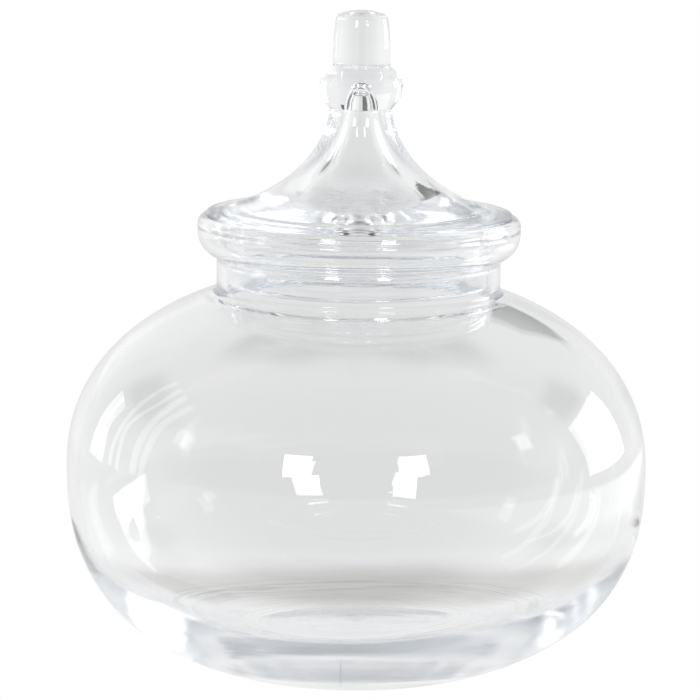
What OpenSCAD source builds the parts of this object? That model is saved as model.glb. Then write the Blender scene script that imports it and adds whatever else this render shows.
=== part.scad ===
// Round-bellied apothecary jar with a lift-off lid, all in clear glass.
// The origin is the centre of the foot on the table, and +Z is the axis of the jar.

/* [Jar body] */
// Diameter at the widest girth
body_d = 259.6; // [252:0.2:266]
// Height of the widest girth above the table
girth_h = 91; // [88:1:94]
// Thickness of the side wall
wall = 5; // [4:0.5:6]
// Thickness of the floor at its middle
floor_t = 9; // [7:0.5:11]
// Diameter of the shallow hollow under the base
punt_d = 92; // [80:1:96]
// Depth of the hollow under the base
punt_depth = 2; // [1:0.5:3]

/* [Neck and collar] */
// Outside diameter of the straight neck
neck_d = 126.4; // [125:0.2:128]
// Thickness of the neck's and the collar's wall
neck_wall = 4.4; // [3.6:0.2:4.8]
// Height of the lip, which carries the lid
lip_h = 203.5; // [202:0.5:205]
// Outside diameter of the rounded collar
collar_d = 143.6; // [142:0.2:145]

/* [Lid] */
// Diameter of the flange that rests on the lip
flange_d = 136; // [134:0.5:138]
// Thickness of the flange at its edge
flange_t = 1.6; // [1.2:0.1:2.4]
// Outside diameter of the sleeve that centres the lid in the neck
sleeve_d = 114.4; // [112:0.2:115]
// Thickness of the sleeve's wall
sleeve_wall = 3; // [2.6:0.1:3.4]
// Depth of the sleeve below the flange
sleeve_depth = 31; // [24:1:34]
// Height of the lid's tip, where the finial starts
tip_h = 251.6; // [249:0.2:254]
// Diameter of the lid's tip
tip_d = 27.8; // [26.4:0.2:29]
// Diameter of the hollow where it reaches the tip
hollow_d = 11; // [8:0.5:12]

/* [Finial] */
// Widest diameter of the round knop
knop_d = 36.8; // [35:0.2:40]
// Height of the knop's widest part above the lid's tip
knop_rise = 9.6; // [8.6:0.2:10.4]
// Height of the whole knop
knop_h = 18.4; // [17.4:0.2:20]
// Diameter of the grip knob where it leaves the knop
knob_d = 25.6; // [24:0.2:26.4]
// Diameter of the grip knob near its top
knob_top_d = 23.4; // [22:0.2:24]
// Height of the grip knob
knob_h = 25; // [20:1:30]

/* [Hidden] */
$fn = 180;
STEPS = 16;

// The belly's outside: semi-axes and powers of its halves above and below the girth.
belly_up = [body_d / 2, 88];
belly_up_power = 2.2;
belly_down = [body_d / 2, 96];
belly_down_power = 2.44;

// The cavity: the floor is flatter than the foot, so the glass is thick in the lower corner.
floor_h = punt_depth + floor_t;
cavity_up = [belly_up[0] - wall, belly_up[1] - wall - 0.5];
cavity_down = [belly_down[0] - wall, girth_h - floor_h];
cavity_down_power = 2.75;

neck_r = neck_d / 2;
bore_r = neck_r - neck_wall;
neck_fillet = 3;
bore_fillet = 7;

// The collar: a long lower curve, a short upright and a tight upper corner, hollow inside.
collar_r = collar_d / 2;
collar_curve = 11.5;
collar_corner = 4;
collar_centre = [collar_r - collar_curve, lip_h - 7.4];
collar_low_a = acos((neck_r - collar_centre[0]) / collar_curve);
lip_inner_r = collar_r - collar_corner - 3;

// The lid's concave flare, outside and inside. Outside, it would level out flare_reach past the edge.
flange_round = flange_t / 2;
flange_r = flange_d / 2;
flare_power = 1.8;
flare_reach = 7;
sleeve_r = sleeve_d / 2;
sleeve_inner_r = sleeve_r - sleeve_wall;
hollow_r = hollow_d / 2;
hollow_power = 1.95;
hollow_rise = 9.5;
hollow_top_power = 2.5;

// The finial, which is solid above the hollow's round end.
tip_r = tip_d / 2;
knop_r = knop_d / 2;
knop_mid_h = tip_h + knop_rise;
knob_foot_h = tip_h + knop_h;
knob_r = knob_d / 2;
knob_top_r = knob_top_d / 2;
knob_corner = 3;
knob_dome = 1.4;
total_h = knob_foot_h + knob_h;

// One quarter of a superellipse, from its side at angle 0 to its pole at angle 90.
function quarter(semi, power, a) = [semi[0] * pow(cos(a), 2 / power), semi[1] * pow(sin(a), 2 / power)];
// The same quarter's height at a radius, and the angles at which it reaches a height or a radius.
function quarter_h(semi, power, r) = semi[1] * pow(1 - pow(r / semi[0], power), 1 / power);
function angle_at_h(semi, power, h) = asin(pow(h / semi[1], power / 2));
function angle_at_r(semi, power, r) = acos(pow(r / semi[0], power / 2));

// Points up or down the quarter above height h, and along the quarter below it.
function up_from(semi, power, h, from, to) =
    [for (i = [0:STEPS]) [0, h] + quarter(semi, power, from + (to - from) * i / STEPS)];
function down_from(semi, power, h, from, to) =
    [for (p = up_from(semi, power, 0, from, to)) [p[0], h - p[1]]];

// Points on a circular arc.
function arc(centre, radius, from, to, steps = 8) =
    [for (i = [0:steps]) let (a = from + (to - from) * i / steps) centre + radius * [cos(a), sin(a)]];

// Rounded corner where a belly of the given shape runs up into a straight neck of radius r.
function neck_corner(semi, r, fillet) =
    arc([r + fillet, girth_h + quarter_h(semi, belly_up_power, r + fillet) + fillet], fillet, 255, 180, 5);

// Concave flare from the tip down to a mouth: a superellipse that would level out at reach past it.
function flare(mouth_r, mouth_h, top_r, power, reach = 0) = let (
    level_r = mouth_r + reach,
    mouth_a = acos(pow(reach / (level_r - top_r), power / 2)),
    semi = [level_r - top_r, (tip_h - mouth_h) / pow(sin(mouth_a), 2 / power)]
) [for (p = up_from(semi, power, 0, 0, mouth_a)) [level_r - p[0], tip_h - p[1]]];

function reversed(list) = [for (i = [len(list) - 1:-1:0]) list[i]];

// Turns an outline of [radius, height] points about the jar's axis.
module lathe(outline) {
    rotate_extrude() polygon(outline);
}

// The shallow hollow under the base, from the axis to the foot.
function punt_outline() =
    [for (i = [0:5]) [punt_d / 2 * i / 5, punt_depth * (1 - pow(i / 5, 2))]];

// Outside of the belly, from the foot up to the neck.
function belly_outline() = concat(
    down_from(belly_down, belly_down_power, girth_h, angle_at_h(belly_down, belly_down_power, girth_h), 3),
    up_from(belly_up, belly_up_power, girth_h, 0, angle_at_r(belly_up, belly_up_power, neck_r + neck_fillet)),
    neck_corner(belly_up, neck_r, neck_fillet)
);

// Inside of the belly, from the bore down to the middle of the floor.
function cavity_outline() = concat(
    reversed(neck_corner(cavity_up, bore_r, bore_fillet)),
    up_from(cavity_up, belly_up_power, girth_h,
        angle_at_r(cavity_up, belly_up_power, bore_r + bore_fillet), 0),
    down_from(cavity_down, cavity_down_power, girth_h, 3, 90)
);

// Outside of the collar, from the neck up to the flat of the lip.
function collar_outline() = concat(
    arc(collar_centre, collar_curve, -collar_low_a, 0),
    arc([collar_r - collar_corner, lip_h - collar_corner], collar_corner, 0, 90)
);

// Inside of the collar, from the lip down to the bore, one wall's thickness from the outside.
function collar_hollow_outline() = let (
    crease = collar_centre + collar_curve * [cos(collar_low_a), -sin(collar_low_a)]
) concat(
    [[lip_inner_r, lip_h], [lip_inner_r + 0.8, lip_h - 0.9]],
    arc(collar_centre, collar_curve - neck_wall, 24, -collar_low_a, 10),
    arc(crease, neck_wall, 176 - collar_low_a, 180, 5)
);

module jar() {
    color([0.86, 0.89, 0.91, 0.45])
        lathe(concat(
            punt_outline(), belly_outline(), collar_outline(), collar_hollow_outline(), cavity_outline()
        ));
}

// Outside of the bell, from its tip over the rounded edge of the flange to the underside.
function bell_outline() = concat(
    flare(flange_r - flange_round, lip_h + flange_t, tip_r, flare_power, flare_reach),
    arc([flange_r - flange_round, lip_h + flange_round], flange_round, 60, -90, 5)
);

module lid_bell() {
    color([0.78, 0.83, 0.87, 0.5])
        lathe(concat(bell_outline(), reversed(flare(sleeve_inner_r, lip_h, hollow_r, hollow_power))));
}

// The sleeve is a plain tube with a rounded foot.
module lid_sleeve() {
    foot_round = sleeve_wall / 2;
    color([0.74, 0.8, 0.85, 0.5])
        lathe(concat(
            [[sleeve_inner_r, lip_h], [sleeve_r, lip_h]],
            arc([sleeve_r - foot_round, lip_h - sleeve_depth + foot_round], foot_round, 0, -180)
        ));
}

// Outside of the round knop, from the lid's tip up to the knob's foot.
function knop_outline() = let (
    low_a = acos(tip_r / knop_r),
    high_a = acos(knob_r / knop_r),
    low = [knop_r, knop_rise / sin(low_a)],
    high = [knop_r, (knob_foot_h - knop_mid_h) / sin(high_a)]
) concat(
    down_from(low, 2, knop_mid_h, low_a, 3),
    up_from(high, 2, knop_mid_h, 0, high_a)
);

module lid_knop() {
    color([0.7, 0.76, 0.82, 0.6])
        lathe(concat(
            down_from([hollow_r, -hollow_rise], hollow_top_power, tip_h, 90, 0),
            knop_outline(),
            [[0, knob_foot_h]]
        ));
}

// The knob's side tapers slightly, faster towards the top.
function knob_side() = let (side_h = knob_h - knob_dome - knob_corner)
    [for (i = [0:6]) [knob_top_r + (knob_r - knob_top_r) * (1 - pow(i / 6, 3)), knob_foot_h + side_h * i / 6]];

// The shallow dome on top of the knob, from its rounded edge to the axis.
function knob_dome_outline() = let (edge_r = knob_top_r - knob_corner)
    [for (i = [1:4]) [edge_r * (1 - i / 4), total_h - knob_dome * pow(1 - i / 4, 2)]];

module lid_knob() {
    color([0.62, 0.7, 0.78, 0.6])
        lathe(concat(
            [[0, knob_foot_h]],
            knob_side(),
            arc([knob_top_r - knob_corner, total_h - knob_dome - knob_corner], knob_corner, 10, 84),
            knob_dome_outline()
        ));
}

jar();
lid_bell();
lid_sleeve();
lid_knop();
lid_knob();
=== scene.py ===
"""A clear glass apothecary jar with its lift-off lid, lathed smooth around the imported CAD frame."""

from math import acos, asin, cos, degrees, pi, radians, sin, sqrt

import bmesh
import bpy
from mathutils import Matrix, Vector, noise


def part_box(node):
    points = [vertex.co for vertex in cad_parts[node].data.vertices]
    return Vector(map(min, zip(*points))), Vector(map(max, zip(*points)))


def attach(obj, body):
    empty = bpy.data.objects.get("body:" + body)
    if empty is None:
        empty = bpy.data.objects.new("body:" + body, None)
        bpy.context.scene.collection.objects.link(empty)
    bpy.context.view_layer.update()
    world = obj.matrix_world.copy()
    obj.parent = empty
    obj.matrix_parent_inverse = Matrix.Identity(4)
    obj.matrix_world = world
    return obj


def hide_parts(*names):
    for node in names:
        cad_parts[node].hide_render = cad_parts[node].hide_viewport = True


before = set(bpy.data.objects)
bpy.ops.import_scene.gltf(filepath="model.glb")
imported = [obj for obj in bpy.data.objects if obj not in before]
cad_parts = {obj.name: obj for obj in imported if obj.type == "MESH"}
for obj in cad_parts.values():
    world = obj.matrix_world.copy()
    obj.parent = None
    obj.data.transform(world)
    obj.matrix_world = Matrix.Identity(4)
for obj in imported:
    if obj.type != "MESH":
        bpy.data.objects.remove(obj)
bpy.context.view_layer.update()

MM = 0.001

# ---------------------------------------------------------------- sizes, from the frame where it has them
JAR_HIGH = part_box("jar")[1]
BELL_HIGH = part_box("lid_bell")[1]
SLEEVE_LOW, SLEEVE_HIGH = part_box("lid_sleeve")
KNOP_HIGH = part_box("lid_knop")[1]
KNOB_LOW, KNOB_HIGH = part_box("lid_knob")

# The belly, which is held in a little so that its waves and its lean stay inside the frame's box.
HELD_IN = 0.5 * MM
BELLY_R = JAR_HIGH.x - HELD_IN
GIRTH_H = 91 * MM
WALL = 5 * MM
CAVITY_LOW = 11 * MM
TOP_THICKER = 0.5 * MM
PUNT_R = 46 * MM
PUNT_DEPTH = 2 * MM
BELLY_UP = (BELLY_R, 88 * MM)
BELLY_UP_POWER = 2.2
BELLY_DOWN = (BELLY_R, 96 * MM)
BELLY_DOWN_POWER = 2.44
CAVITY_UP = (BELLY_R - WALL, BELLY_UP[1] - WALL - TOP_THICKER)
CAVITY_DOWN = (BELLY_R - WALL, GIRTH_H - CAVITY_LOW)
CAVITY_DOWN_POWER = 2.75

NECK_R = 63.2 * MM
NECK_WALL = 4.4 * MM
BORE_R = NECK_R - NECK_WALL
NECK_FILLET = 3 * MM
BORE_FILLET = 7 * MM
LIP_H = JAR_HIGH.z
COLLAR_R = 71.8 * MM
COLLAR_CURVE = 11.5 * MM
COLLAR_CORNER = 4 * MM
COLLAR_MID = LIP_H - 7.4 * MM
LIP_FLAT = 2 * MM
LIP_ROUND = 1 * MM

FLANGE_R = BELL_HIGH.x
FLANGE_T = 1.6 * MM
FLARE_POWER = 1.8
FLARE_REACH = 7 * MM
SLEEVE_R = SLEEVE_HIGH.x
SLEEVE_WALL = 3 * MM
SLEEVE_FOOT = SLEEVE_LOW.z
SLEEVE_FILLET = 1 * MM
TIP_H = BELL_HIGH.z
TIP_R = 13.9 * MM
HOLLOW_R = 5.5 * MM
HOLLOW_RISE = 9.5 * MM
HOLLOW_POWER = 1.95
HOLLOW_TOP_POWER = 2.5

KNOP_R = KNOP_HIGH.x
KNOP_MID = TIP_H + 9.6 * MM
KNOB_FOOT = KNOB_LOW.z
KNOB_R = KNOB_HIGH.x
KNOB_TOP_R = 11.7 * MM
KNOB_CORNER = 3 * MM
KNOB_DOME = 1.4 * MM
TOTAL_H = KNOB_HIGH.z

# The whole jar leans a little to the right, as a hand-made one does: none at the foot, all of it at the neck.
LEAN = radians(0.8)
LEAN_PIVOT = 113 * MM
LEAN_FROM = 10 * MM
LEAN_TO = 160 * MM

# A curve that starts or ends where another one does leaves out this angle there, so no point comes twice.
GIRTH_GAP = 0.02
KNOP_GAP = 0.05

# The angle, in degrees, at which the rounded corner under the neck starts.
CORNER_FROM = 252


# ---------------------------------------------------------------- outlines, as (radius, height) points
def quarter(semi, power, angle):
    """A point on one quarter of a superellipse, from its side at angle 0 to its pole at pi / 2."""
    return semi[0] * max(cos(angle), 0) ** (2 / power), semi[1] * max(sin(angle), 0) ** (2 / power)


def quarter_h(semi, power, r):
    """The height of that quarter at a radius."""
    return semi[1] * (1 - (r / semi[0]) ** power) ** (1 / power)


def sweep(first, last, steps):
    """Evenly spaced values from first to last."""
    return [first + (last - first) * i / steps for i in range(steps + 1)]


def up_from(semi, power, h, first, last, steps=60):
    """Points on the quarter that rises from height h."""
    return [(r, h + z) for r, z in (quarter(semi, power, a) for a in sweep(first, last, steps))]


def down_from(semi, power, h, first, last, steps=60):
    """Points on the quarter that hangs from height h."""
    return [(r, h - z) for r, z in (quarter(semi, power, a) for a in sweep(first, last, steps))]


def arc(centre, radius, first, last, steps=10):
    """Points on a circular arc, with its angles in degrees."""
    return [
        (centre[0] + radius * cos(radians(a)), centre[1] + radius * sin(radians(a)))
        for a in sweep(first, last, steps)
    ]


def neck_corner(semi, r, fillet):
    """The rounded corner where a belly of that shape runs up into a straight neck of radius r."""
    middle = r + fillet
    h = GIRTH_H + quarter_h(semi, BELLY_UP_POWER, middle) + fillet
    return arc((middle, h), fillet, CORNER_FROM, 180, 8)


def flare(mouth_r, mouth_h, top_r, power, reach=0.0, steps=70):
    """The lid's concave flare, from its tip down to its mouth. It would level out at reach past the mouth."""
    level_r = mouth_r + reach
    mouth = acos((reach / (level_r - top_r)) ** (power / 2))
    semi = (level_r - top_r, (TIP_H - mouth_h) / sin(mouth) ** (2 / power))
    return [(level_r - r, TIP_H - z) for r, z in (quarter(semi, power, a) for a in sweep(0, mouth, steps))]


def jar_outside():
    """From the middle of the base, over the foot, belly, neck and collar, to the flat of the lip."""
    foot = asin((GIRTH_H / BELLY_DOWN[1]) ** (BELLY_DOWN_POWER / 2))
    neck = acos(((NECK_R + NECK_FILLET) / BELLY_R) ** (BELLY_UP_POWER / 2))
    centre = (COLLAR_R - COLLAR_CURVE, COLLAR_MID)
    low = degrees(acos((NECK_R - centre[0]) / COLLAR_CURVE))
    line = [(PUNT_R * t, PUNT_DEPTH * (1 - t * t)) for t in sweep(0, 1, 12)]
    line += down_from(BELLY_DOWN, BELLY_DOWN_POWER, GIRTH_H, foot, GIRTH_GAP)
    line += up_from(BELLY_UP, BELLY_UP_POWER, GIRTH_H, 0, neck)
    line += neck_corner(BELLY_UP, NECK_R, NECK_FILLET)
    line += arc(centre, COLLAR_CURVE, -low, 0, 24)
    line += arc((COLLAR_R - COLLAR_CORNER, LIP_H - COLLAR_CORNER), COLLAR_CORNER, 4, 90, 12)
    return line


def jar_inside():
    """From the lip, down the hollow of the collar and the bore, to the middle of the floor."""
    bore = acos(((BORE_R + BORE_FILLET) / CAVITY_UP[0]) ** (BELLY_UP_POWER / 2))
    centre = (COLLAR_R - COLLAR_CURVE, COLLAR_MID)
    low = degrees(acos((NECK_R - centre[0]) / COLLAR_CURVE))
    crease = (NECK_R, COLLAR_MID - COLLAR_CURVE * sin(radians(low)))
    line = arc((COLLAR_R - COLLAR_CORNER - LIP_FLAT, LIP_H - LIP_ROUND), LIP_ROUND, 90, 150, 5)
    line += arc(centre, COLLAR_CURVE - NECK_WALL, 22, -low, 20)
    line += arc(crease, NECK_WALL, 178 - low, 180, 8)
    line += neck_corner(CAVITY_UP, BORE_R, BORE_FILLET)[::-1]
    line += up_from(CAVITY_UP, BELLY_UP_POWER, GIRTH_H, bore, 0)
    line += down_from(CAVITY_DOWN, CAVITY_DOWN_POWER, GIRTH_H, GIRTH_GAP, pi / 2)
    return line


def lid_outside():
    """From the top of the knob, over the knop and the bell, to the flange: the lid is one piece of glass."""
    low = acos(TIP_R / KNOP_R)
    high = acos(KNOB_R / KNOP_R)
    rise = (KNOP_MID - TIP_H) / sin(low)
    fall = (KNOB_FOOT - KNOP_MID) / sin(high)
    side = TOTAL_H - KNOB_DOME - KNOB_CORNER
    edge_r = KNOB_TOP_R - KNOB_CORNER
    round_r = FLANGE_T / 2
    line = [(edge_r * t, TOTAL_H - KNOB_DOME * t * t) for t in sweep(0, 1, 8)]
    line += arc((edge_r, side), KNOB_CORNER, 84, 8, 10)
    line += [
        (KNOB_TOP_R + (KNOB_R - KNOB_TOP_R) * (1 - t ** 3), KNOB_FOOT + (side - KNOB_FOOT) * t)
        for t in sweep(1, 0, 20)
    ]
    line += up_from((KNOP_R, fall), 2, KNOP_MID, high, 0, 20)
    line += down_from((KNOP_R, rise), 2, KNOP_MID, KNOP_GAP, low, 20)
    line += flare(FLANGE_R - round_r, LIP_H + FLANGE_T, TIP_R, FLARE_POWER, FLARE_REACH)
    line += arc((FLANGE_R - round_r, LIP_H + round_r), round_r, 70, -90, 8)
    return line


def lid_inside():
    """From the flange's underside, round the sleeve and up the hollow to its tip inside the knop."""
    round_r = SLEEVE_WALL / 2
    line = arc((SLEEVE_R + SLEEVE_FILLET, LIP_H - SLEEVE_FILLET), SLEEVE_FILLET, 90, 180, 4)
    line += arc((SLEEVE_R - round_r, SLEEVE_FOOT + round_r), round_r, 0, -180, 10)
    line += flare(SLEEVE_R - SLEEVE_WALL, LIP_H, HOLLOW_R, HOLLOW_POWER)[::-1]
    line += up_from((HOLLOW_R, HOLLOW_RISE), HOLLOW_TOP_POWER, TIP_H, KNOP_GAP, pi / 2, 20)
    return line


# ---------------------------------------------------------------- meshes
SHORTEST = 0.02 * MM
ON_AXIS = 0.01 * MM


def resample(outline, gap):
    """The outline without repeated points, and with long straight runs divided."""
    clean = [outline[0]]
    for r, z in outline[1:]:
        last_r, last_z = clean[-1]
        length = sqrt((r - last_r) ** 2 + (z - last_z) ** 2)
        if length < SHORTEST:
            continue
        parts = max(1, round(length / gap))
        clean += [
            (last_r + (r - last_r) * i / parts, last_z + (z - last_z) * i / parts)
            for i in range(1, parts + 1)
        ]
    return clean


def fading(z, start, end):
    """A smooth change from 0 at start to 1 at end."""
    t = min(max((z - start) / (end - start), 0), 1)
    return t * t * (3 - 2 * t)


def leaned(r, z, angle):
    """Where a point of the upright shape comes to when the jar leans."""
    x = r * cos(angle)
    lean = LEAN * fading(z, LEAN_FROM, LEAN_TO)
    return x * cos(lean) + (z - LEAN_PIVOT) * sin(lean), r * sin(angle), z - x * sin(lean)


def lathe(name, outside, inside, segments, gap, waves):
    """Turns an outline from one point on the axis to another about +Z, into a closed mesh.

    waves(r, z, angle, inner) is how far the surface moves at a point, to the left of the outline's way. That
    is into the glass on an outline that runs up the outside.
    """
    outline = resample(outside, gap)
    outer_count = len(outline)
    outline += resample(inside, gap)
    bm = bmesh.new()
    rows = []
    for k, (r, z) in enumerate(outline):
        if r < ON_AXIS:
            rows.append([bm.verts.new(leaned(0, z, 0))])
            continue
        before = outline[max(k - 1, 0)]
        after = outline[min(k + 1, len(outline) - 1)]
        along = Vector((after[0] - before[0], after[1] - before[1])).normalized()
        row = []
        for i in range(segments):
            angle = 2 * pi * i / segments
            dip = waves(r, z, angle, k >= outer_count)
            row.append(bm.verts.new(leaned(r - along.y * dip, z + along.x * dip, angle)))
        rows.append(row)
    for one, two in zip(rows, rows[1:]):
        for i in range(segments):
            j = (i + 1) % segments
            if len(one) == 1:
                bm.faces.new((one[0], two[j], two[i]))
            elif len(two) == 1:
                bm.faces.new((one[i], one[j], two[0]))
            else:
                bm.faces.new((one[i], one[j], two[j], two[i]))
    bmesh.ops.recalc_face_normals(bm, faces=bm.faces)
    mesh = bpy.data.meshes.new(name)
    bm.to_mesh(mesh)
    bm.free()
    for face in mesh.polygons:
        face.use_smooth = True
    piece = bpy.data.objects.new(name, mesh)
    bpy.context.scene.collection.objects.link(piece)
    return piece


# ---------------------------------------------------------------- shader nodes
def added(tree, kind, **settings):
    """A new node of that kind with its settings."""
    node = tree.nodes.new(kind)
    for name, value in settings.items():
        setattr(node, name, value)
    return node


def step(tree, value, start, end, before, after):
    """A smooth step: before up to start, after from end on."""
    node = added(tree, "ShaderNodeMapRange", interpolation_type="SMOOTHSTEP")
    tree.links.new(value, node.inputs["Value"])
    for name, number in (("From Min", start), ("From Max", end), ("To Min", before), ("To Max", after)):
        node.inputs[name].default_value = number
    return node.outputs["Result"]


def times(tree, first, *others):
    """The product of two or more values."""
    for other in others:
        node = added(tree, "ShaderNodeMath", operation="MULTIPLY")
        tree.links.new(first, node.inputs[0])
        tree.links.new(other, node.inputs[1])
        first = node.outputs["Value"]
    return first


def scaled(tree, value, factor):
    """A value times a number."""
    node = added(tree, "ShaderNodeMath", operation="MULTIPLY")
    tree.links.new(value, node.inputs[0])
    node.inputs[1].default_value = factor
    return node.outputs["Value"]


# ---------------------------------------------------------------- glass
STREAK_FINENESS = 600
STREAK_EVENNESS = 2.2
STREAK_DETAIL = 6
STREAK_DEPTH = 0.05 * MM
# Which streaks get a dark tint, and over how much past its radius the tint changes. The tint is painted shade
# and painted dark reflection, laid on the pattern of the glass's cords.
DARK_STREAKS = (0.42, 0.52)
PAINTED_SHADE_SPREAD = 1.12
GLASS_IOR = 1.5
CLEAR = (0.994, 0.996, 0.998, 1)
# The dark tint: painted shade and painted dark reflection in the streaks, and the seam's dark line.
PAINTED_SHADE_AND_SEAM_COLOUR = (0, 0.05, 0.12, 1)
ABSORBED = (0.86, 0.885, 0.91, 1)
ABSORPTION = 7


def around_axis(tree):
    """A place's radius and height, and the cosine and sine of its angle round the axis."""
    place = tree.nodes.new("ShaderNodeTexCoord")
    split = tree.nodes.new("ShaderNodeSeparateXYZ")
    flat = added(tree, "ShaderNodeVectorMath", operation="MULTIPLY")
    flat.inputs[1].default_value = (1, 1, 0)
    radius = added(tree, "ShaderNodeVectorMath", operation="LENGTH")
    turn = added(tree, "ShaderNodeVectorMath", operation="NORMALIZE")
    turned = tree.nodes.new("ShaderNodeSeparateXYZ")
    tree.links.new(place.outputs["Object"], split.inputs["Vector"])
    tree.links.new(place.outputs["Object"], flat.inputs[0])
    tree.links.new(flat.outputs["Vector"], radius.inputs[0])
    tree.links.new(flat.outputs["Vector"], turn.inputs[0])
    tree.links.new(turn.outputs["Vector"], turned.inputs["Vector"])
    return radius.outputs["Value"], split.outputs["Z"], turned.outputs["X"], turned.outputs["Y"]


def streaks(tree, polar):
    """Noise drawn out in rings round the jar, at places that around_axis gives."""
    radius, height, cosine, sine = polar
    joined = tree.nodes.new("ShaderNodeCombineXYZ")
    parts = ((radius, STREAK_FINENESS), (height, STREAK_FINENESS), (cosine, STREAK_EVENNESS))
    for number, (value, scale) in enumerate(parts):
        tree.links.new(scaled(tree, value, scale), joined.inputs[number])
    marks = added(tree, "ShaderNodeTexNoise", noise_dimensions="4D")
    marks.inputs["Scale"].default_value = 1
    marks.inputs["Detail"].default_value = STREAK_DETAIL
    tree.links.new(joined.outputs["Vector"], marks.inputs["Vector"])
    tree.links.new(scaled(tree, sine, STREAK_EVENNESS), marks.inputs["W"])
    return marks.outputs["Fac"]


SEAM_X = -7 * MM
SEAM_WIDTH = 0.5 * MM
SEAM_DARKNESS = 0.7
SEAM_FROM_R = (70 * MM, 76 * MM)
SEAM_UP_TO = (20 * MM, 28 * MM)
FRONT = (-0.5, -0.4)


def seam(tree, polar):
    """A thin upright mould seam on the front of the foot, where the sine is negative."""
    radius, height, cosine, sine = polar
    off = added(tree, "ShaderNodeMath", operation="SUBTRACT")
    off.inputs[1].default_value = SEAM_X
    away = added(tree, "ShaderNodeMath", operation="ABSOLUTE")
    tree.links.new(times(tree, radius, cosine), off.inputs[0])
    tree.links.new(off.outputs["Value"], away.inputs[0])
    return times(
        tree,
        step(tree, away.outputs["Value"], 0, SEAM_WIDTH, SEAM_DARKNESS, 0),
        step(tree, sine, *FRONT, 1, 0),
        step(tree, radius, *SEAM_FROM_R, 0, 1),
        step(tree, height, *SEAM_UP_TO, 1, 0),
    )


def glass(name, worked, bumps, painted_cord_shade_heights, painted_cord_shade, has_seam=False):
    """Clear glass with fine tool streaks in rings.

    worked: the two heights between which the worked glass, below, turns into the smooth glass above
    bumps: how deep the streaks are below and above
    painted_cord_shade_heights: the two heights between which the streaks' painted shade and dark reflection
    fade out upwards
    painted_cord_shade: how dark that painted shade is within a radius, that radius, and how dark it is beyond
    it
    """
    material = bpy.data.materials.new(name)
    material.use_nodes = True
    tree = material.node_tree
    shader = tree.nodes["Principled BSDF"]
    shader.inputs["Roughness"].default_value = 0
    shader.inputs["IOR"].default_value = GLASS_IOR
    shader.inputs["Transmission Weight"].default_value = 1
    polar = around_axis(tree)
    radius, height = polar[:2]
    marks = streaks(tree, polar)
    bump = tree.nodes.new("ShaderNodeBump")
    bump.inputs["Strength"].default_value = 1
    bump.inputs["Distance"].default_value = STREAK_DEPTH
    tree.links.new(times(tree, marks, step(tree, height, *worked, *bumps)), bump.inputs["Height"])
    tree.links.new(bump.outputs["Normal"], shader.inputs["Normal"])
    # Painted shade and painted dark reflection, as a dark tint in some of the streaks, darker beyond a radius
    # and fading out upwards.
    within, edge, beyond = painted_cord_shade
    painted_shade_and_seam = times(
        tree,
        step(tree, radius, edge, PAINTED_SHADE_SPREAD * edge, within, beyond),
        step(tree, height, *painted_cord_shade_heights, 1, 0),
        step(tree, marks, *DARK_STREAKS, 1, 0),
    )
    if has_seam:
        both = added(tree, "ShaderNodeMath", operation="MAXIMUM")
        tree.links.new(painted_shade_and_seam, both.inputs[0])
        tree.links.new(seam(tree, polar), both.inputs[1])
        painted_shade_and_seam = both.outputs["Value"]
    tint = added(tree, "ShaderNodeMix", data_type="RGBA")
    tint.inputs["A"].default_value = CLEAR
    tint.inputs["B"].default_value = PAINTED_SHADE_AND_SEAM_COLOUR
    tree.links.new(painted_shade_and_seam, tint.inputs["Factor"])
    tree.links.new(tint.outputs["Result"], shader.inputs["Base Color"])
    absorb = tree.nodes.new("ShaderNodeVolumeAbsorption")
    absorb.inputs["Color"].default_value = ABSORBED
    absorb.inputs["Density"].default_value = ABSORPTION
    tree.links.new(absorb.outputs["Volume"], tree.nodes["Material Output"].inputs["Volume"])
    return material


# ---------------------------------------------------------------- the two pieces of glass
# The waves' depths are in millimetres.
JAR_INNER_BROAD = 0.34
JAR_INNER_SMALL = 0.07
JAR_OUTER_BROAD = 0.10
JAR_OUTER_RINGS = 0.03
LID_INNER_BROAD = 0.16
LID_INNER_RINGS = 0.05
LID_OUTER_BROAD = 0.06
LID_OUTER_RINGS = 0.03
FOOT_FADE = 8 * MM
LIP_FADE = 10 * MM
SEAT_FADE = 3 * MM

# A pressed mark low on the left of the wall: its depth in millimetres, angle, height and half sizes.
DENT_DEPTH = 0.6
DENT = (radians(223), 80 * MM, 9 * MM, 12 * MM)

# A faint ring on the inner floor, with its depth in millimetres too.
RING_DEPTH = 0.3
RING_R = 66 * MM
RING_HALF = 4 * MM
RING_BELOW = 20 * MM


def ripple(r, z, angle, around, along, seed):
    """Smooth noise from -1 to 1, with features this long around the jar and along its height."""
    return noise.noise(Vector((r * cos(angle) / around + seed, r * sin(angle) / around, z / along)))


def rings(r, z, angle, along, seed):
    """Smooth noise in rings, as a tool leaves it on glass that turns. They are nearly even all round."""
    return noise.noise(Vector((cos(angle) + seed, sin(angle), (r + z) / along)))


def dent(r, z, angle, at, height, width, tall):
    """1 in the middle of a shallow mark in the wall, fading to 0 at the mark's half width and half height."""
    off = sqrt(((angle - at + pi) % (2 * pi) - pi) ** 2 * r * r / width ** 2 + (z - height) ** 2 / tall ** 2)
    return 1 - fading(off, 0, 1)


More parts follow.
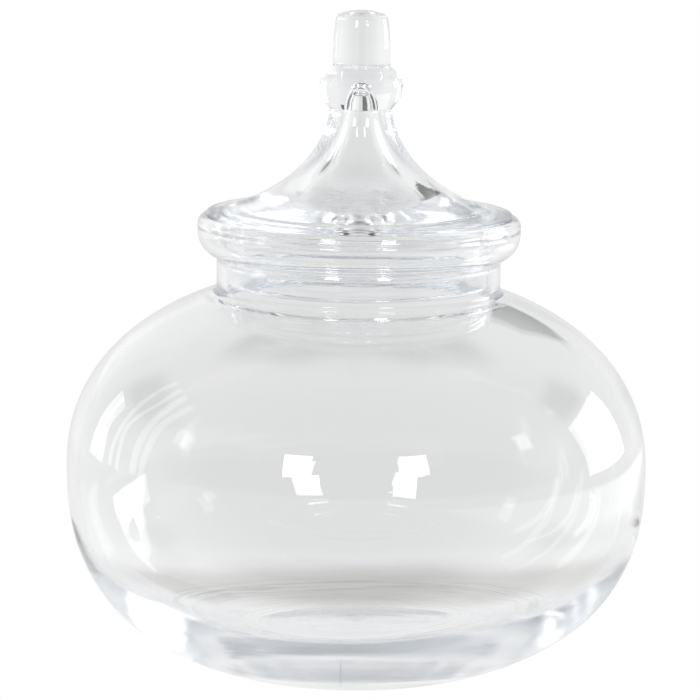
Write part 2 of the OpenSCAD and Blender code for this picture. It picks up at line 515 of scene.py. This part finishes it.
def jar_waves(r, z, angle, inner):
    """Soft waves in the blown wall, deeper inside than outside.

    They fade out at the lip, and those outside at the foot too.
    """
    if inner:
        dip = JAR_INNER_BROAD * ripple(r, z, angle, around=62 * MM, along=30 * MM, seed=5)
        dip += JAR_INNER_SMALL * ripple(r, z, angle, around=26 * MM, along=12 * MM, seed=9)
        dip += DENT_DEPTH * dent(r, z, angle, *DENT)
        if z < RING_BELOW:
            dip += RING_DEPTH * (1 - fading(abs(r - RING_R), 0, RING_HALF))
        return dip * fading(LIP_H - z, 0, LIP_FADE) * MM
    dip = JAR_OUTER_BROAD * (1 + ripple(r, z, angle, around=55 * MM, along=34 * MM, seed=2))
    dip += JAR_OUTER_RINGS * (1 + rings(r, z, angle, along=9 * MM, seed=3))
    return dip * fading(z, 0, FOOT_FADE) * fading(LIP_H - z, 0, LIP_FADE) * MM


def lid_waves(r, z, angle, inner):
    """Rings and drawn-out streaks, with none where the lid rests on the lip.

    The lid's outline runs down the outside, so a dip into the glass is negative.
    """
    away = fading(abs(z - LIP_H), 0, SEAT_FADE)
    if inner:
        dip = LID_INNER_BROAD * ripple(r, z, angle, around=14 * MM, along=40 * MM, seed=4)
        dip += LID_INNER_RINGS * rings(r, z, angle, along=5 * MM, seed=6)
        return -dip * away * MM
    dip = LID_OUTER_BROAD * (1 + ripple(r, z, angle, around=12 * MM, along=26 * MM, seed=7))
    dip += LID_OUTER_RINGS * (1 + rings(r, z, angle, along=3.4 * MM, seed=8))
    return -dip * away * MM


jar = lathe("jar_glass", jar_outside(), jar_inside(), segments=240, gap=3 * MM, waves=jar_waves)
jar.data.materials.append(glass(
    "jar_glass",
    worked=(18 * MM, 36 * MM),
    bumps=(1.4, 0.04),
    # Painted shade as a dark tint in the streaks low on the jar, darker on the outside of the foot beyond 74
    # mm.
    painted_cord_shade_heights=(12 * MM, 17 * MM),
    painted_cord_shade=(0.08, 74 * MM, 0.32),
    has_seam=True,
))
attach(jar, "jar")
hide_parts("jar")

LID_WORKED = (LIP_H + 8 * MM, LIP_H + 24 * MM)
lid = lathe("lid_glass", lid_outside(), lid_inside(), segments=160, gap=1.2 * MM, waves=lid_waves)
lid.data.materials.append(glass(
    "lid_glass",
    worked=LID_WORKED,
    bumps=(0.8, 0.10),
    # Painted dark reflection as a dark tint in the streaks low on the lid, darker on the flange beyond 50 mm.
    painted_cord_shade_heights=LID_WORKED,
    painted_cord_shade=(0.02, 50 * MM, 0.10),
))
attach(lid, "lid")
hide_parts("lid_bell", "lid_sleeve", "lid_knop", "lid_knob")


# ---------------------------------------------------------------- stage, camera and light
WHITE = (1, 1, 1, 1)
SUBJECT = Vector((0, 0, 0.1))


def off_behind(tree, split):
    """The angle, in radians, by which a place is off the line straight behind the jar."""
    side = added(tree, "ShaderNodeMath", operation="ABSOLUTE")
    angle = added(tree, "ShaderNodeMath", operation="ARCTAN2")
    tree.links.new(split.outputs["X"], side.inputs[0])
    tree.links.new(side.outputs["Value"], angle.inputs[0])
    tree.links.new(split.outputs["Y"], angle.inputs[1])
    return angle.outputs["Value"]


def between(tree, value, rising, falling):
    """1 from the end of rising to the start of falling, and 0 outside the two."""
    return times(tree, step(tree, value, *rising, 0, 1), step(tree, value, *falling, 1, 0))


def white_to_camera(tree, shader, kind):
    """Mixes the studio's shader with plain white, which only the camera itself sees behind the glass."""
    shown = tree.nodes.new(kind)
    shown.inputs["Color"].default_value = WHITE
    mix = tree.nodes.new("ShaderNodeMixShader")
    path = tree.nodes.new("ShaderNodeLightPath")
    tree.links.new(path.outputs["Is Camera Ray"], mix.inputs["Fac"])
    tree.links.new(shader, mix.inputs[1])
    tree.links.new(shown.outputs[0], mix.inputs[2])
    return mix.outputs["Shader"]


# The floor, as the glass sees it. A zone is where a smooth change starts and ends, and its level before and
# after. BACK and RIGHT go by the distance behind the jar and to its right, FAR and NEAR by the distance from
# it, and the others by the angle off straight behind.
FLOOR_HALF = 6
FLOOR_BACK = (0.19, 0.23, 1.0, 0.97)
FLOOR_SIDES = (0.12, 0.6, 0.78, 0.9)
FLOOR_FAR = (0.9, 1.5, 0, 1)
FLOOR_FAR_SIDES = (0.03, 0.10, 1.0, 1.06)
POOL_RIGHT = (0.25, 0.5, 0, 1)
POOL_NEAR = (0.7, 0.9, 1, 0)
POOL_LEVEL = 1.6

# The shade behind the foot: its middle, its half sizes, the part of them over which it ends, and its light.
SHADE_AT = (0.02, 0.098)
SHADE_SIZE = (0.17, 0.07)
SHADE_ENDS = (0.4, 1.1)
SHADE_LEVEL = 0.70
SHADE_WARMTH = (1.0, 0.985, 0.95, 1)


def floor_glow(tree):
    """The floor's own light, with a fixed shade behind the jar's foot and a bright pool at the right."""
    glow = tree.nodes.new("ShaderNodeEmission")
    place = tree.nodes.new("ShaderNodeTexCoord")
    moved = added(tree, "ShaderNodeMapping", vector_type="TEXTURE")
    moved.inputs["Location"].default_value = (*SHADE_AT, 0)
    moved.inputs["Scale"].default_value = (*SHADE_SIZE, 1)
    length = added(tree, "ShaderNodeVectorMath", operation="LENGTH")
    distance = added(tree, "ShaderNodeVectorMath", operation="LENGTH")
    split = tree.nodes.new("ShaderNodeSeparateXYZ")
    tree.links.new(place.outputs["Object"], moved.inputs["Vector"])
    tree.links.new(moved.outputs["Vector"], length.inputs[0])
    tree.links.new(place.outputs["Object"], distance.inputs[0])
    tree.links.new(place.outputs["Object"], split.inputs["Vector"])
    turn = off_behind(tree, split)
    shade = step(tree, length.outputs["Value"], *SHADE_ENDS, SHADE_LEVEL, 1.0)
    back = step(tree, split.outputs["Y"], *FLOOR_BACK)
    sides = step(tree, turn, *FLOOR_SIDES)
    far = tree.nodes.new("ShaderNodeMix")
    far.inputs["A"].default_value = 1
    tree.links.new(step(tree, distance.outputs["Value"], *FLOOR_FAR), far.inputs["Factor"])
    tree.links.new(step(tree, turn, *FLOOR_FAR_SIDES), far.inputs["B"])
    right = step(tree, split.outputs["X"], *POOL_RIGHT)
    near = step(tree, distance.outputs["Value"], *POOL_NEAR)
    pool = step(tree, times(tree, right, near), 0, 1, 1.0, POOL_LEVEL)
    light = times(tree, times(tree, shade, back), times(tree, sides, far.outputs["Result"]), pool)
    tree.links.new(light, glow.inputs["Strength"])
    warm = added(tree, "ShaderNodeMix", data_type="RGBA")
    warm.inputs["A"].default_value = SHADE_WARMTH
    warm.inputs["B"].default_value = WHITE
    tree.links.new(step(tree, length.outputs["Value"], *SHADE_ENDS, 0, 1), warm.inputs["Factor"])
    tree.links.new(warm.outputs["Result"], glow.inputs["Color"])
    return glow.outputs["Emission"]


def floor():
    """A pale table, plain white to the camera."""
    mesh = bpy.data.meshes.new("floor")
    low, high = -FLOOR_HALF, FLOOR_HALF
    corners = [(low, low, 0), (high, low, 0), (high, high, 0), (low, high, 0)]
    mesh.from_pydata(corners, [], [(0, 1, 2, 3)])
    plane = bpy.data.objects.new("floor", mesh)
    bpy.context.scene.collection.objects.link(plane)
    material = bpy.data.materials.new("floor")
    material.use_nodes = True
    tree = material.node_tree
    tree.nodes.clear()
    out = tree.nodes.new("ShaderNodeOutputMaterial")
    shader = white_to_camera(tree, floor_glow(tree), "ShaderNodeEmission")
    tree.links.new(shader, out.inputs["Surface"])
    mesh.materials.append(material)


floor()

# The soft lights: name, azimuth, elevation, width and height in degrees, strength, and distance in metres.
SOFTBOXES = (
    ("softbox_left", -23, 20.5, 10.6, 13.6, 9, 2.0),
    ("softbox_right", 23, 20.5, 10.6, 13.6, 9, 2.0),
    ("fill_left", -77, 24, 6, 9, 1.6, 2.0),
    ("fill_right", 74, 24, 6, 9, 1.6, 2.0),
    ("strip_left", -97, 17, 4, 56, 1.3, 3.0),
    ("strip_far_left", -112, 17, 2.5, 56, 1.3, 3.0),
    ("panel_left", -126, 6, 6, 32, 1.6, 3.0),
    ("panel_right", 118, 5, 28, 34, 2.6, 3.0),
)


def softbox(name, azimuth, elevation, width, height, strength, distance):
    """A rectangular soft light that faces the jar, at angles seen from it: azimuth 0 is the camera's."""
    light = bpy.data.lights.new(name, "AREA")
    light.shape = "RECTANGLE"
    light.size = 2 * distance * sin(radians(width / 2))
    light.size_y = 2 * distance * sin(radians(height / 2))
    light.energy = strength * pi * light.size * light.size_y
    spot = bpy.data.objects.new(name, light)
    a, e = radians(azimuth), radians(elevation)
    away = Vector((sin(a) * cos(e), -cos(a) * cos(e), sin(e)))
    spot.location = away * distance + SUBJECT
    spot.rotation_euler = away.to_track_quat("Z", "Y").to_euler()
    bpy.context.scene.collection.objects.link(spot)


for settings in SOFTBOXES:
    softbox(*settings)

# The studio, as the glass sees it, with zones like the floor's. STUDIO_BACK is a zone in the direction's Y,
# the rises are in its Z, and the others are in its angle off straight behind. A pair of edges rises at the
# first and falls at the second.
STUDIO_BACK = (-0.55, 0.1, 0.66, 1.0)
STUDIO_SIDES = (0.12, 0.5, 0.82, 0.90)
STUDIO_STRIPE = (0.03, 0.10, 0.90, 1.0)
FLANK_TURN = ((0.70, 1.05), (1.2, 1.5))
FLANK_RISE = ((0.34, 0.47), (0.54, 0.68))
FLANK_LEVEL = 0.15
CEILING_RISE = ((0.72, 0.83), (0.93, 0.99))
CEILING_TURN = (0.5, 1.2)
CEILING_LEVEL = 0.02

# Cards round the jar: from and to an angle off straight behind, from and to a rise, how much lighter or
# darker they make the studio, and how soft their edges are.
CARDS = (
    ((0.12, 0.26), (0.08, 0.25), 0.92, 0.02),
    ((0.10, 0.42), (0.31, 0.52), 0.12, 0.02),
    ((-0.60, -0.10), (0.10, 0.58), 1.12, 0.02),
    ((-0.28, 0.10), (0.47, 0.74), 0.70, 0.02),
    ((1.40, 1.90), (0.14, 0.38), 1.30, 0.14),
    ((-1.70, -0.80), (0.30, 0.55), 0.75, 0.10),
)


def card(tree, across, up, side, rise, level, soft):
    """How a card round the jar changes the studio's light."""
    edges = [(edge - soft, edge + soft) for edge in (*side, *rise)]
    inside = times(tree, between(tree, across, *edges[:2]), between(tree, up, *edges[2:]))
    return step(tree, inside, 0, 1, 1.0, level)


def studio():
    """A white sweep behind, a dimmer room towards the camera, dark sides high up and a dark band overhead."""
    world = bpy.data.worlds.new("studio")
    bpy.context.scene.world = world
    world.use_nodes = True
    tree = world.node_tree
    tree.nodes.clear()
    out = tree.nodes.new("ShaderNodeOutputWorld")
    background = tree.nodes.new("ShaderNodeBackground")
    background.inputs["Color"].default_value = WHITE
    place = tree.nodes.new("ShaderNodeTexCoord")
    split = tree.nodes.new("ShaderNodeSeparateXYZ")
    tree.links.new(place.outputs["Generated"], split.inputs["Vector"])
    turn = off_behind(tree, split)
    up = split.outputs["Z"]
    across = added(tree, "ShaderNodeMath", operation="ARCTAN2")
    tree.links.new(split.outputs["X"], across.inputs[0])
    tree.links.new(split.outputs["Y"], across.inputs[1])
    back = step(tree, split.outputs["Y"], *STUDIO_BACK)
    sides = step(tree, turn, *STUDIO_SIDES)
    stripe = step(tree, turn, *STUDIO_STRIPE)
    beside = times(tree, between(tree, turn, *FLANK_TURN), between(tree, up, *FLANK_RISE))
    flanks = step(tree, beside, 0, 1, 1.0, FLANK_LEVEL)
    overhead = times(tree, between(tree, up, *CEILING_RISE), step(tree, turn, *CEILING_TURN, 1, 0))
    ceiling = step(tree, overhead, 0, 1, 1.0, CEILING_LEVEL)
    light = times(tree, times(tree, back, sides), times(tree, stripe, ceiling), flanks)
    for settings in CARDS:
        light = times(tree, light, card(tree, across.outputs["Value"], up, *settings))
    tree.links.new(light, background.inputs["Strength"])
    shader = white_to_camera(tree, background.outputs["Background"], "ShaderNodeBackground")
    tree.links.new(shader, out.inputs["Surface"])


studio()

CAMERA_AWAY = 2.5
CAMERA_UP = 10
AIM = Vector((-0.0029, 0, 0.143))
PIXELS_PER_METRE = 2238.5
IMAGE_WIDTH = 700
SENSOR_WIDTH = 36
CLIP_END = 50


def camera():
    """The camera, in front of the jar and a little above it."""
    data = bpy.data.cameras.new("camera")
    data.sensor_width = SENSOR_WIDTH
    data.lens = SENSOR_WIDTH * PIXELS_PER_METRE * CAMERA_AWAY / IMAGE_WIDTH
    data.clip_end = CLIP_END
    eye = bpy.data.objects.new("camera", data)
    e = radians(CAMERA_UP)
    eye.location = SUBJECT + CAMERA_AWAY * Vector((0, -cos(e), sin(e)))
    eye.location.x = AIM.x
    eye.rotation_euler = (eye.location - AIM).to_track_quat("Z", "Y").to_euler()
    bpy.context.scene.collection.objects.link(eye)
    bpy.context.scene.camera = eye


camera()

# Clear glass needs many bounces: with fewer, light that should get through its thick parts goes dark.
BOUNCES = 64
scene = bpy.context.scene
scene.view_settings.view_transform = "Standard"
scene.cycles.max_bounces = BOUNCES
scene.cycles.transmission_bounces = BOUNCES
scene.cycles.glossy_bounces = BOUNCES
scene.cycles.caustics_reflective = True
scene.cycles.caustics_refractive = True

bpy.context.view_layer.update()
